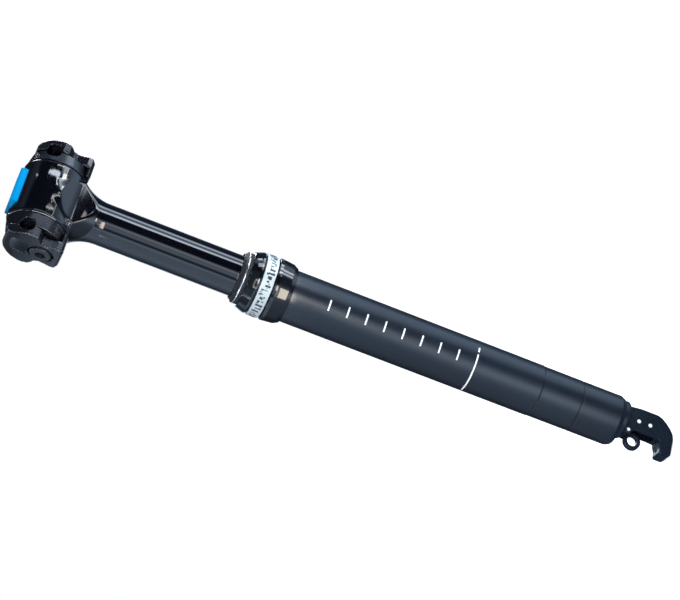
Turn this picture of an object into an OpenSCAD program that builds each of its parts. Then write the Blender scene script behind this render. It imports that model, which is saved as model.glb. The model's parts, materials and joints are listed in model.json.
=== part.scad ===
// Dropper seatpost, 27.2 mm, 70 mm travel, cable worked from its lower end.
// All sizes in mm. Z runs up the post's axis towards the saddle and Z = 0 is the
// shoulder of the collar that rests on the frame's seat tube. X runs across the
// bicycle, Y along it. The post is drawn at full height with the clamp level.

/* [Outer post] */
// Outside diameter of the part that goes into the frame
post_d = 27.2; // [25.4:0.1:31.6]
// Wall of the outer tube
post_wall = 1.6; // [1.2:0.1:2]
// Length of the tube below the collar's shoulder
tube_below = 136.2; // [128:0.1:150]
// Length of the lower sleeve below the seam
sleeve_len = 46.6; // [40:0.1:60]

/* [Stanchion] */
// Diameter of the sliding stanchion
stanchion_d = 21.5; // [20:0.1:22]
// Travel of the saddle
travel = 70; // [40:1:70]
// Height of the head's barrel axis above the shoulder
head_z = 128.4; // [125:0.1:150]

/* [Saddle clamp] */
// Diameter of the saddle rails
rail_d = 7; // [6:0.1:7]
// Distance between the two rails, centre to centre
rail_gauge = 44; // [43.6:0.1:44.6]
// Height of the rails above the barrel axis
rail_up = 5.3; // [4.5:0.1:6]
// Depth of the clamp bolts below the barrel axis
bolt_down = 5.7; // [5:0.1:6]

/* [Fits] */
// Radial clearance of every sliding or turning fit
run_gap = 0.05; // [0.02:0.01:0.1]

/* [Hidden] */
$fn = 96;

post_r = post_d / 2;
tube_bore_r = post_r - post_wall;
collar_split = 10.2;
tube_top = collar_split + 3.8;
top_r = post_r - 0.4;
sleeve_r = post_r - 0.2;
sleeve_bore_r = tube_bore_r - 1.4;
foot_r = sleeve_r - 1.4;
foot_len = 11;
sleeve_end = -(tube_below + sleeve_len);
sleeve_chamfer = 2.2;
spigot_len = 4.6;
groove_z = -tube_below - 22.8;
groove_half = 0.5;
groove_depth = 0.15;

stan_r = stanchion_d / 2;
stan_bore_r = stan_r - 1.55;
key_w = 2.4;
key_len = 10;
stan_bottom = travel - tube_below + spigot_len + 3.6;
stan_bore_top = head_z - 27.4;
guide_low = stan_bottom + key_len + 4;
guide_high = guide_low + 14;
bushing_low = guide_high + 6;

// Collar stack, all heights above the shoulder
collar_big_r = post_r + 2.75;
collar_foot_r = post_r + 0.9;
collar_flare = 2.4;
collar_full = collar_split - 2;
band_low = collar_split + 0.6;
band_high = band_low + 6.1;
band_r = collar_big_r - 0.1;
band_seat_r = band_r - 1.05;
cap_groove_high = band_high + 0.9;
cap_chamfer_low = cap_groove_high + 1.1;
cap_chamfer_high = cap_chamfer_low + 4;
cap_top = cap_chamfer_high + 0.4;
cap_r = collar_big_r - 0.3;
cap_floor = tube_top + 1.8;
cap_lip_r = stan_r + 0.65;
wiper_seat_r = stan_r + 2.15;
wiper_seat_z = cap_top - 2.9;
wiper_top = cap_top + 4.5;
wiper_in_r = wiper_seat_r - 1.3;
wiper_out_r = wiper_seat_r + 0.5;
wiper_ring_z = cap_top + 1.9;
wiper_ring_r = wiper_seat_r + 0.25;
wiper_wire_r = 0.5;

// Head
barrel_r = 16.1;
barrel_half = 15.6;
barrel_bore_r = barrel_r - 2.9;
barrel_chamfer = 1.1;
neck_fillet = 21.5;
neck_start = head_z - 29.4;
waist_cut_r = 21;
waist_cut_y = barrel_r + 16;
waist_drop = 18.6;
plate_x = 22.8;
plate_y = 16.6;
plate_seat_r = barrel_r - 0.8;
plate_top = barrel_r + 1.3;
plate_corner_x = 2.2;
plate_corner_y = 3.8;
plate_bevel = 1.8;

// Saddle clamp, heights relative to the barrel axis
rail_r = rail_d / 2;
rail_x = rail_gauge / 2;
part_x = rail_x - 0.1;
clamp_out_x = rail_x + 6;
clamp_top = barrel_r - 2.2;
clamp_bottom = -barrel_r;
cradle_r = barrel_r - 0.6;
cradle_tip_r = barrel_r - 2;
spigot_in_x = barrel_half - 3;
toe_x = barrel_half + 1.3;
toe_top = clamp_bottom + 3.1;
clamp_side = [[clamp_top - 6.3, clamp_top], [8.9, clamp_top - 0.9], [12.6, clamp_top - 5.9],
    [14.6, clamp_top - 10.3], [14.8, clamp_top - 12.9], [13.8, clamp_top - 15.8],
    [11.6, clamp_top - 17.3], [9.5, clamp_top - 18.1], [8.3, clamp_bottom + 9.7],
    [8.6, clamp_bottom + 7.1], [9.5, clamp_bottom + 4.1], [9.2, clamp_bottom + 1.9],
    [7.1, clamp_bottom]];
bolt_r = 2.95;
thread_r = bolt_r + run_gap;
bolt_clear_r = 3.35;
head_recess_r = 6.55;
recess_floor_x = clamp_out_x - 2.9;
washer_r = 6.3;
washer_t = 0.9;
bolt_head_r = 5.6;
bolt_end_x = 4;
tie_bar_r = 6.3;
hex_af = 5;

// Gas cartridge
rod_r = 4;
rod_bore_r = 1.6;
pin_r = 1.2;
cyl_bore_r = 7.2;
cyl_r = 8.2;
piston_low = stan_bottom + 12;
piston_high = piston_low + 10;
gland_high = stan_bottom + 9;
cap_low = stan_bore_top - 6;
float_low = cap_low - 47;
float_high = float_low + 9;

// Lower end
plug_len = 4;
plug_end = sleeve_end - plug_len;
plug_r = 10.1;
plug_x = 2.1;
cheek_in = 3;
cheek_out = 4.5;
back_x = 10.2;
front_x = -3;
pivot_x = -4.1;
pivot_z = plug_end - 1.9;
axle_r = 0.9;
boss_r = 1.6;
ring_x = pivot_x - 3.8;
ring_z = pivot_z - 4.4;
ring_r = 4.7;
ring_half = 1.3;
eye_r = 2.7;
nose_r = 0.8;
rivet_x = 2.4;
rivet_r = 0.9;
rivet_z1 = plug_end - 6.7;
rivet_z2 = plug_end - 13.1;
throat_x = -8.5;
throat_z = plug_end - 15.2;
throat_r = 5.3;
hook_low = plug_end - 27.1;
hook_x = throat_x - 2.5;
slot_end = throat_z - 2.2;
stop_x = -7.8;
stop_r = 2.1;
stop_depth = 4.6;
wire_r = 0.8;

// Shapes that several pieces share

// A cylinder along X, from x0 to x1, on the barrel axis or dz away from it
module bar_x(x0, x1, r, dz = 0) {
    translate([min(x0, x1), 0, head_z + dz])
        rotate([0, 90, 0])
            cylinder(h = abs(x1 - x0), r = r);
}

// A cylinder along Y through x, z
module bar_y(x, z, r, half) {
    translate([x, half, z])
        rotate([90, 0, 0])
            cylinder(h = 2 * half, r = r);
}

// A ring around the post's axis
module tube_z(z0, z1, r_out, r_in) {
    difference() {
        translate([0, 0, z0])
            cylinder(h = z1 - z0, r = r_out);
        translate([0, 0, z0 - 1])
            cylinder(h = z1 - z0 + 2, r = r_in);
    }
}

// A round-section ring around the post's axis
module ring_z_round(z, r_mid, r_wire) {
    translate([0, 0, z])
        rotate_extrude()
            translate([r_mid, 0])
                circle(r = r_wire, $fn = 32);
}

// A cut through an XZ outline, as thick as 2 * half
module plate_xz(points, half) {
    translate([0, half, 0])
        rotate([90, 0, 0])
            linear_extrude(height = 2 * half)
                polygon(points);
}

// Pieces that stay with the frame

// Anodised aluminium tube with three key slots inside
module outer_tube() {
    color([0.06, 0.065, 0.075])
    difference() {
        union() {
            translate([0, 0, -tube_below])
                cylinder(h = tube_below, r = post_r);
            translate([0, 0, -1])
                cylinder(h = tube_top + 1, r = top_r);
        }
        translate([0, 0, -tube_below - 1])
            cylinder(h = tube_below + tube_top + 2, r = tube_bore_r);
        for (a = [90, 210, 330])
            rotate([0, 0, a])
                translate([0, -key_w / 2 - run_gap, stan_bottom - travel - 2])
                    cube([post_r - 0.8, key_w + 2 * run_gap, travel + 18]);
    }
}

// Black shoulder ring that rests on the frame
module lower_collar() {
    color([0.05, 0.05, 0.055])
    rotate_extrude()
        polygon([[top_r, 0], [collar_foot_r, 0], [collar_big_r - 0.6, collar_flare],
            [collar_big_r, collar_full], [collar_big_r, collar_split], [top_r, collar_split]]);
}

// Pale ring set into the screwed cap
module collar_band() {
    color([0.82, 0.84, 0.85])
    tube_z(band_low, band_high, band_r, band_seat_r);
}

// Screwed cap that holds the wiper and the bushing
module upper_collar() {
    color([0.05, 0.05, 0.055])
    rotate_extrude()
        polygon([[top_r, collar_split], [band_seat_r + 0.5, collar_split],
            [band_seat_r + 0.5, band_low], [band_seat_r, band_low], [band_seat_r, band_high],
            [band_seat_r + 0.2, band_high], [band_seat_r + 0.2, cap_groove_high],
            [cap_r, cap_groove_high], [cap_r, cap_chamfer_low], [cap_r - 1.5, cap_chamfer_high],
            [cap_r - 1.85, cap_top], [wiper_seat_r, cap_top], [wiper_seat_r, wiper_seat_z],
            [cap_lip_r, wiper_seat_z], [cap_lip_r, cap_floor], [top_r, cap_floor]]);
}

// Rubber ring between the tube's end and the cap
module tube_seal() {
    color([0.04, 0.04, 0.04])
    ring_z_round((tube_top + cap_floor) / 2, top_r - (cap_floor - tube_top) / 2,
        (cap_floor - tube_top) / 2);
}

// Rubber lip that sweeps the stanchion
module dust_wiper() {
    color([0.07, 0.07, 0.08])
    difference() {
        rotate_extrude()
            polygon([[stan_r + run_gap, wiper_top - 2.4], [stan_r + run_gap, wiper_top - 1.4],
                [stan_r + 0.5, wiper_top], [wiper_seat_r - 1.1, wiper_top],
                [wiper_seat_r - 0.3, wiper_top - 1.2], [wiper_out_r, wiper_top - 1.6],
                [wiper_out_r, cap_top], [wiper_seat_r, cap_top], [wiper_seat_r, wiper_seat_z],
                [wiper_in_r, wiper_seat_z], [wiper_in_r, wiper_top - 3.8]]);
        ring_z_round(wiper_ring_z, wiper_ring_r, wiper_wire_r);
    }
}

// Bright garter wire around the wiper
module wiper_ring() {
    color([0.78, 0.79, 0.8])
    ring_z_round(wiper_ring_z, wiper_ring_r, wiper_wire_r);
}

// Plain bushing that the stanchion slides in
module upper_bushing() {
    color([0.75, 0.72, 0.62])
    tube_z(bushing_low, tube_top - 2, tube_bore_r, stan_r + run_gap);
}

// Lower sleeve, screwed into the tube at the seam
module lower_sleeve() {
    color([0.06, 0.065, 0.075])
    rotate_extrude()
        polygon([[foot_r, sleeve_end], [sleeve_r - 1.3, sleeve_end],
            [sleeve_r, sleeve_end + sleeve_chamfer], [sleeve_r, groove_z - groove_half],
            [sleeve_r - groove_depth, groove_z - groove_half + 0.2],
            [sleeve_r - groove_depth, groove_z + groove_half - 0.2], [sleeve_r, groove_z + groove_half],
            [sleeve_r, -tube_below - 0.4], [sleeve_r - 0.2, -tube_below],
            [tube_bore_r, -tube_below], [tube_bore_r, -tube_below + spigot_len],
            [sleeve_bore_r, -tube_below + spigot_len], [sleeve_bore_r, sleeve_end + foot_len],
            [foot_r, sleeve_end + foot_len]]);
}

// Foot that closes the sleeve, with a tongue for the bracket
module end_plug() {
    color([0.06, 0.065, 0.075])
    difference() {
        union() {
            translate([0, 0, sleeve_end])
                cylinder(h = foot_len, r = foot_r);
            translate([plug_x, 0, plug_end + 0.8])
                cylinder(h = plug_len - 0.3, r = plug_r);
            translate([plug_x, 0, plug_end])
                cylinder(h = 0.8, r1 = plug_r - 0.8, r2 = plug_r);
            plate_xz([[pin_r + 0.6, plug_end + 1], [pin_r + 0.6, plug_end - 3.9],
                [1, plug_end - 4.7], [1, slot_end + 1.9], [2.2, slot_end + 0.7],
                [back_x - 1.6, slot_end + 0.7], [back_x - 1.6, plug_end + 1]], cheek_in);
        }
        translate([0, 0, sleeve_end + 3])
            cylinder(h = 10, r = rod_r);
        translate([0, 0, plug_end - 1])
            cylinder(h = 20, r = rod_bore_r);
        for (z = [rivet_z1, rivet_z2])
            bar_y(rivet_x, z, rivet_r, cheek_out + 1);
    }
}

// Bent bracket: two cheeks beside the lever and a hook that stops the cable housing
module cable_bracket() {
    color([0.07, 0.075, 0.085])
    difference() {
        plate_xz([[pivot_x - boss_r - 0.4, plug_end], [back_x - 0.9, plug_end],
            [back_x, plug_end - 7], [back_x, throat_z - 1.4], [back_x - 0.8, throat_z - 4],
            [back_x - 2.9, throat_z - 6.9], [back_x - 5.4, hook_low + 2.4],
            [back_x - 8, hook_low + 0.7], [back_x - 10.8, hook_low], [hook_x + 1.6, hook_low],
            [hook_x, hook_low + 1.6], [hook_x, hook_low + 5.8], [hook_x + 1, hook_low + 6.6],
            [front_x - 0.2, hook_low + 8], [front_x, throat_z + 0.2],
            [front_x, pivot_z - 3.6], [pivot_x, pivot_z - 2.6],
            [pivot_x - boss_r - 0.4, pivot_z - 1.4]], cheek_out);
        bar_y(throat_x, throat_z, throat_r, cheek_out + 1);
        translate([hook_x - 3, -cheek_in, slot_end])
            cube([back_x - 1.6 - hook_x + 3, 2 * cheek_in, 20]);
        bar_y(pivot_x, pivot_z, axle_r, cheek_out + 1);
        for (z = [rivet_z1, rivet_z2])
            bar_y(rivet_x, z, rivet_r, cheek_out + 1);
        translate([stop_x, 0, hook_low - 1])
            cylinder(h = stop_depth + 1, r = stop_r);
        translate([stop_x, 0, hook_low - 1])
            cylinder(h = throat_z - hook_low, r = wire_r);
    }
}

// Two steel rivets with low heads
module bracket_rivets() {
    color([0.8, 0.8, 0.8])
    for (z = [rivet_z1, rivet_z2]) {
        bar_y(rivet_x, z, rivet_r, cheek_out + 0.15);
        for (s = [-1, 1])
            translate([rivet_x, s * (cheek_out + 0.15), z])
                rotate([90, 0, 0])
                    cylinder(h = 0.3, r = rivet_r + 0.15, center = true);
    }
}

// Pin that the lever turns on
module lever_axle() {
    color([0.8, 0.8, 0.8])
    bar_y(pivot_x, pivot_z, axle_r, cheek_out + 0.2);
}

// Hollow rod, fixed in the foot
module piston_rod() {
    color([0.75, 0.76, 0.78])
    tube_z(sleeve_end + 3, piston_low + 1, rod_r, rod_bore_r);
}

// Piston with the valve seat
module main_piston() {
    color([0.72, 0.62, 0.3])
    difference() {
        translate([0, 0, piston_low])
            cylinder(h = piston_high - piston_low, r = cyl_bore_r - run_gap);
        translate([0, 0, piston_low - 1])
            cylinder(h = 2, r = rod_r);
        translate([0, 0, piston_low - 1])
            cylinder(h = 8, r = rod_bore_r);
        for (a = [0, 90, 180, 270])
            rotate([0, 0, a])
                translate([0, 0, piston_high - 4])
                    rotate([0, 90, 0])
                        cylinder(h = 12, r = 0.8);
    }
}

// Lock nut above the foot
module rod_nut() {
    color([0.7, 0.7, 0.72])
    difference() {
        translate([0, 0, sleeve_end + foot_len])
            cylinder(h = 4, r = 7.5, $fn = 6);
        translate([0, 0, sleeve_end + foot_len - 1])
            cylinder(h = 6, r = rod_r);
    }
}

// Pieces that slide with the saddle

// Forged head, neck and tube in one piece
module stanchion() {
    color([0.03, 0.03, 0.035])
    difference() {
        union() {
            intersection() {
                rotate_extrude()
                    difference() {
                        translate([0, stan_bottom])
                            square([barrel_r + 0.2, head_z - stan_bottom]);
                        translate([stan_r, stan_bottom - 1])
                            square([20, neck_start - stan_bottom + 1]);
                        translate([stan_r + neck_fillet, neck_start])
                            circle(r = neck_fillet);
                    }
                difference() {
                    translate([-barrel_half, -20, stan_bottom - 1])
                        cube([2 * barrel_half, 40, head_z - stan_bottom]);
                    for (s = [-1, 1])
                        translate([-25, s * waist_cut_y, head_z - waist_drop])
                            rotate([0, 90, 0])
                                cylinder(h = 50, r = waist_cut_r);
                }
            }
            bar_x(-barrel_half + barrel_chamfer, barrel_half - barrel_chamfer, barrel_r);
            for (s = [-1, 1])
                translate([s * (barrel_half - barrel_chamfer), 0, head_z])
                    rotate([0, s * 90, 0])
                        cylinder(h = barrel_chamfer, r1 = barrel_r, r2 = barrel_r - barrel_chamfer);
        }
        bar_x(-20, 20, barrel_bore_r);
        plate_block(barrel_r + 5);
        translate([0, 0, stan_bottom - 1])
            cylinder(h = stan_bore_top - stan_bottom + 1, r = stan_bore_r);
        for (a = [90, 210, 330])
            rotate([0, 0, a])
                translate([0, -key_w / 2, stan_bottom + 2])
                    cube([stan_r + 1, key_w, key_len]);
    }
}

// The plate's block, up to the given height above the barrel's axis, hollowed to sit on the barrel
module plate_block(top) {
    difference() {
        translate([0, 0, head_z])
            linear_extrude(height = top)
                polygon([[-plate_x / 2 + plate_corner_x, -plate_y / 2],
                    [plate_x / 2 - plate_corner_x, -plate_y / 2],
                    [plate_x / 2, -plate_y / 2 + plate_corner_y],
                    [plate_x / 2, plate_y / 2 - plate_corner_y],
                    [plate_x / 2 - plate_corner_x, plate_y / 2],
                    [-plate_x / 2 + plate_corner_x, plate_y / 2],
                    [-plate_x / 2, plate_y / 2 - plate_corner_y],
                    [-plate_x / 2, -plate_y / 2 + plate_corner_y]]);
        bar_x(-plate_x, plate_x, plate_seat_r);
    }
}

// Blue plate let into the top of the barrel
module head_plate() {
    color([0, 0.55, 0.85])
    difference() {
        plate_block(plate_top);
        for (s = [-1, 1]) {
            translate([s * plate_x / 2, 0, head_z + plate_top])
                rotate([0, 45, 0])
                    cube([plate_bevel, 30, plate_bevel], center = true);
            translate([0, s * plate_y / 2, head_z + plate_top])
                rotate([45, 0, 0])
                    cube([30, plate_bevel, plate_bevel], center = true);
        }
    }
}

// Split bushing on the stanchion's lower end
module guide_bushing() {
    color([0.75, 0.72, 0.62])
    difference() {
        tube_z(guide_low, guide_high, tube_bore_r - run_gap, stan_r);
        translate([0, -0.5, guide_low - 1])
            cube([post_r + 6, 1, guide_high - guide_low + 2]);
    }
}

// Three brass keys that stop the saddle from turning
module guide_keys() {
    color([0.8, 0.62, 0.25])
    for (a = [90, 210, 330])
        rotate([0, 0, a])
            translate([stan_bore_r + 0.35, -key_w / 2, stan_bottom + 2])
                cube([post_r - 1.2 - stan_bore_r - 0.35, key_w, key_len]);
}

// Cylinder of the gas cartridge
module cartridge_cylinder() {
    color([0.6, 0.61, 0.63])
    tube_z(gland_high, cap_low, cyl_r, cyl_bore_r);
}

// Seal head that the rod slides through
module cartridge_gland() {
    color([0.3, 0.3, 0.32])
    tube_z(stan_bottom, gland_high, stan_bore_r, rod_r + run_gap);
}

// Rubber ring that softens the end of the return stroke
module top_out_bumper() {
    color([0.05, 0.05, 0.05])
    tube_z(gland_high, piston_low - 0.2, cyl_bore_r, rod_r + 0.5);
}

// Cap with the fill port, seated in the head
module cartridge_cap() {
    color([0.6, 0.61, 0.63])
    difference() {
        union() {
            translate([0, 0, cap_low])
                cylinder(h = stan_bore_top - cap_low, r = stan_bore_r);
            translate([0, 0, cap_low - 4])
                cylinder(h = 5, r = cyl_bore_r);
        }
        translate([0, 0, cap_low - 5])
            cylinder(h = 4, r = 2.5);
    }
}

// Piston between the oil and the gas
module floating_piston() {
    color([0.35, 0.36, 0.38])
    difference() {
        translate([0, 0, float_low])
            cylinder(h = float_high - float_low, r = cyl_bore_r - run_gap);
        tube_z(float_low + 3, float_low + 5, 9, 5.5);
    }
}

// Seal in the floating piston's groove
module floating_seal() {
    color([0.05, 0.05, 0.05])
    tube_z(float_low + 3, float_low + 5, cyl_bore_r - 0.03, 5.5);
}

// Pieces that hold the rails

// Threaded bar through the barrel that both bolts screw into
module tie_bar() {
    color([0.5, 0.5, 0.52])
    difference() {
        bar_x(-spigot_in_x, spigot_in_x, tie_bar_r, -bolt_down);
        bar_x(-20, 20, thread_r, -bolt_down);
    }
}

// Inner half of the right-hand rail seat, turning in the barrel's end
module cradle_right() {
    color([0.16, 0.16, 0.17])
    difference() {
        union() {
            bar_x(spigot_in_x, barrel_half + 0.5, barrel_bore_r - run_gap);
            translate([barrel_half, 0, head_z])
                rotate([0, 90, 0])
                    cylinder(h = part_x - barrel_half, r1 = cradle_r, r2 = cradle_tip_r);
        }
        bar_y(rail_x, head_z + rail_up, rail_r, 20);
        bar_x(10, 30, bolt_clear_r, -bolt_down);
        translate([barrel_half + 0.8, -20, head_z - 20])
            cube([20, 40, 20 + toe_top + 0.3]);
    }
}

module cradle_left() {
    mirror([1, 0, 0])
        cradle_right();
}

// Outer half of the right-hand rail clamp
module outer_clamp_right() {
    color([0.1, 0.1, 0.11])
    difference() {
        intersection() {
            translate([0, 0, head_z])
                plate_xz([[part_x + 0.2, clamp_top], [rail_x + 2.4, clamp_top],
                    [rail_x + 4.4, clamp_top - 1.5], [rail_x + 5.6, clamp_top - 4],
                    [clamp_out_x, clamp_top - 7], [clamp_out_x, clamp_bottom + 1.5],
                    [clamp_out_x - 1.5, clamp_bottom], [toe_x + 0.8, clamp_bottom],
                    [toe_x, clamp_bottom + 0.8], [toe_x, toe_top],
                    [part_x + 0.2, toe_top]], 20);
            translate([0, 0, head_z])
                rotate([90, 0, 90])
                    linear_extrude(height = 40)
                        polygon(concat(clamp_side, [for (i = [len(clamp_side) - 1:-1:0])
                            [-clamp_side[i][0], clamp_side[i][1]]]));
        }
        bar_y(rail_x, head_z + rail_up, rail_r, 20);
        bar_x(10, 40, thread_r, -bolt_down);
        bar_x(recess_floor_x, 40, head_recess_r, -bolt_down);
    }
}

module outer_clamp_left() {
    mirror([1, 0, 0])
        outer_clamp_right();
}

// Hardened washer under the bolt's head
module bolt_washer_right() {
    color([0.35, 0.35, 0.37])
    difference() {
        bar_x(recess_floor_x, recess_floor_x + washer_t, washer_r, -bolt_down);
        bar_x(10, 40, bolt_clear_r, -bolt_down);
    }
}

module bolt_washer_left() {
    mirror([1, 0, 0])
        bolt_washer_right();
}

// Socket-head clamp bolt
module clamp_bolt_right() {
    color([0.12, 0.12, 0.13])
    difference() {
        union() {
            bar_x(bolt_end_x, recess_floor_x + washer_t + 0.2, bolt_r, -bolt_down);
            bar_x(recess_floor_x + washer_t, clamp_out_x + 0.4, bolt_head_r, -bolt_down);
            translate([clamp_out_x + 0.4, 0, head_z - bolt_down])
                rotate([0, 90, 0])
                    cylinder(h = 0.4, r1 = bolt_head_r, r2 = bolt_head_r - 0.5);
        }
        translate([clamp_out_x - 1.9, 0, head_z - bolt_down])
            rotate([0, 90, 0])
                cylinder(h = 5, r = hex_af / sqrt(3), $fn = 6);
    }
}

module clamp_bolt_left() {
    mirror([1, 0, 0])
        clamp_bolt_right();
}

// Pieces that the cable moves

// Rocker: the cable's end sits in the eye and the nose lifts the valve pin
module actuator_lever() {
    color([0.12, 0.12, 0.14])
    difference() {
        union() {
            bar_y(ring_x, ring_z, ring_r, ring_half);
            bar_y(pivot_x, pivot_z, boss_r, cheek_in - 0.1);
            bar_y(0, pivot_z - nose_r, nose_r, ring_half);
            plate_xz([[pivot_x, pivot_z], [0, pivot_z - 0.1],
                [0, pivot_z - 1.5], [pivot_x, pivot_z - 2.2],
                [ring_x + 2, ring_z - 0.5], [ring_x + 1, ring_z + 4], [pivot_x - 1.2, pivot_z + 0.6]],
                ring_half);
        }
        bar_y(ring_x, ring_z, eye_r, 4);
        bar_y(pivot_x, pivot_z, axle_r + run_gap, 6);
    }
}

// Long pin inside the rod that opens the valve
module valve_pin() {
    color([0.8, 0.8, 0.82])
    union() {
        translate([0, 0, pivot_z + 0.02])
            cylinder(h = piston_low + 5 - pivot_z, r = pin_r);
        translate([0, 0, plug_end + 1])
            cylinder(h = 6, r = rod_bore_r - run_gap);
    }
}

outer_tube();
lower_collar();
collar_band();
upper_collar();
tube_seal();
dust_wiper();
wiper_ring();
upper_bushing();
lower_sleeve();
end_plug();
cable_bracket();
bracket_rivets();
lever_axle();
piston_rod();
main_piston();
rod_nut();
stanchion();
head_plate();
guide_bushing();
guide_keys();
cartridge_cylinder();
cartridge_gland();
top_out_bumper();
cartridge_cap();
floating_piston();
floating_seal();
tie_bar();
cradle_left();
cradle_right();
outer_clamp_left();
outer_clamp_right();
bolt_washer_left();
bolt_washer_right();
clamp_bolt_left();
clamp_bolt_right();
actuator_lever();
valve_pin();
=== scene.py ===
# %% [markdown]
# A dropper seatpost, dressed for a picture
#
# The solids of this seatpost were made in a CAD program and packed with their joints. This
# notebook loads them as a fixed frame, gives each surface the finish of the real object, adds
# the small details that a solid model leaves out, and sets up a camera, a floor and the light.

import json
import math

import bmesh
import bpy
import numpy as np
from mathutils import Matrix, Vector


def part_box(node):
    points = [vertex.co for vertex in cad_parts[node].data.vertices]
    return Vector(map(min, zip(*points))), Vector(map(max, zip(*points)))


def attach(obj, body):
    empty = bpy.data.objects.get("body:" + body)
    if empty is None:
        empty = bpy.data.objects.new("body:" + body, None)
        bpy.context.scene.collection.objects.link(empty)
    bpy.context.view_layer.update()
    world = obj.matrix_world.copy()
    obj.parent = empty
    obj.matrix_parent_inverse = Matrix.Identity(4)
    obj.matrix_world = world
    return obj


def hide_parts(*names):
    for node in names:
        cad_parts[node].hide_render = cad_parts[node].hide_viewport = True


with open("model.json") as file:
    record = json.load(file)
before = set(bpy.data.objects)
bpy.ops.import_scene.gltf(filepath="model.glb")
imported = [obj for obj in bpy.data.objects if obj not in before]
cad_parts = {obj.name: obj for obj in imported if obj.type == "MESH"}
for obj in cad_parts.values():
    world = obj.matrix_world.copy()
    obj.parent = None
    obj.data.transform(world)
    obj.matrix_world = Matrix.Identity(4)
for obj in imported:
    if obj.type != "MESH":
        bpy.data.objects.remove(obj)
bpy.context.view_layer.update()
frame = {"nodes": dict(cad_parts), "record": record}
MM = 0.001
scene = bpy.context.scene
nodes, record = frame["nodes"], frame["record"]

# %% [markdown]
# The camera
#
# The photographer stood a little above the post and turned the frame, so that the post runs
# down to the right. A lens of about 117 mm on a 36 mm sensor gives the same weak
# perspective: the far end is only a few percent smaller than the near one. The camera's place
# follows from four measured values: how far it is from the collar, how much the post leans
# away from it, how much it is rolled and how far the post is turned about its own axis.

# %% Camera
FOCAL_PX, IMAGE_W, SENSOR_MM = 2202.0, 680, 36
DISTANCE, LEAN, ROLL, TURN = 1108.0, 9.49, 21.07, 30.0
SIDE_SHIFT, AXIS_SHIFT = -7.36, -25.6


def link_object(name, data):
    """An object with this data, in the scene."""
    piece = bpy.data.objects.new(name, data)
    scene.collection.objects.link(piece)
    return piece


def photo_camera():
    """Where the camera stands and how it is turned, from the measured values."""
    lean, roll, turn = (math.radians(v) for v in (LEAN, ROLL, TURN))
    down_post = Vector((math.cos(lean) * math.cos(roll), math.cos(lean) * math.sin(roll), math.sin(lean)))
    across = Vector((math.sin(roll), -math.cos(roll), 0.0))
    towards = -down_post.cross(across)
    if towards.z > 0:
        towards.negate()
    z_row = -down_post
    x_row = math.cos(turn) * across - math.sin(turn) * towards
    y_row = -math.sin(turn) * across - math.cos(turn) * towards
    origin = Vector((0, 0, DISTANCE)) + SIDE_SHIFT * across + AXIS_SHIFT * down_post
    r = Matrix((x_row, y_row, z_row)).transposed()
    place = -(r.transposed() @ origin) * MM
    turned = r.transposed() @ Matrix(((1, 0, 0), (0, -1, 0), (0, 0, -1)))
    return place, turned


camera_data = bpy.data.cameras.new("photo_camera")
camera = link_object("photo_camera", camera_data)
place, turned = photo_camera()
camera.matrix_world = Matrix.Translation(place) @ turned.to_4x4()
camera_data.sensor_width = SENSOR_MM
camera_data.lens = FOCAL_PX / IMAGE_W * SENSOR_MM
camera_data.clip_start, camera_data.clip_end = 0.05, 20
scene.camera = camera
print("camera at", [round(v, 4) for v in place], "lens", round(camera_data.lens, 1))

# %% [markdown]
# The finishes
#
# Each finish is a small shader tree on the shape's own Object coordinates, so it sits still
# when the post moves and needs no unwrapping. It has two or three layers: a slow change of
# colour from handling, a fine grain that varies the roughness, and, unless the part is polished,
# a bump from the same grain.
# On turned parts the grain is stretched into rings round the post's axis, as a lathe leaves it.
# On forged, stamped and painted parts it is even.

# %% Shader helpers
def make(tree, family, *kinds):
    """New nodes of one family and these kinds, in this order."""
    return [tree.nodes.new(family + kind) for kind in kinds]


def fill(node, values):
    """Set a node's inputs."""
    for label, value in values.items():
        node.inputs[label].default_value = value


def wire(tree, rows):
    """Join nodes. Each row is a node, its output, the next node and, if its name differs, the input."""
    for source, output, target, *other in rows:
        tree.links.new(source.outputs[output], target.inputs[other[0] if other else output])


def grain(tree, coords, stretch, scale, detail=4.0):
    """Noise on the Object coordinates."""
    mapping, noise = make(tree, "ShaderNode", "Mapping", "TexNoise")
    fill(mapping, {"Scale": stretch})
    fill(noise, {"Scale": scale, "Detail": detail})
    wire(tree, [(coords, "Object", mapping, "Vector"), (mapping, "Vector", noise)])
    return noise


EVEN, ROUND = (1, 1, 1), (0.15, 0.15, 40.0)
HANDLING_SCALE, HANDLING_DETAIL = 60.0, 3.0
NOISE_LOW, NOISE_HIGH = 0.35, 0.65
TONE_STOPS = 0.3, 0.7


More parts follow.
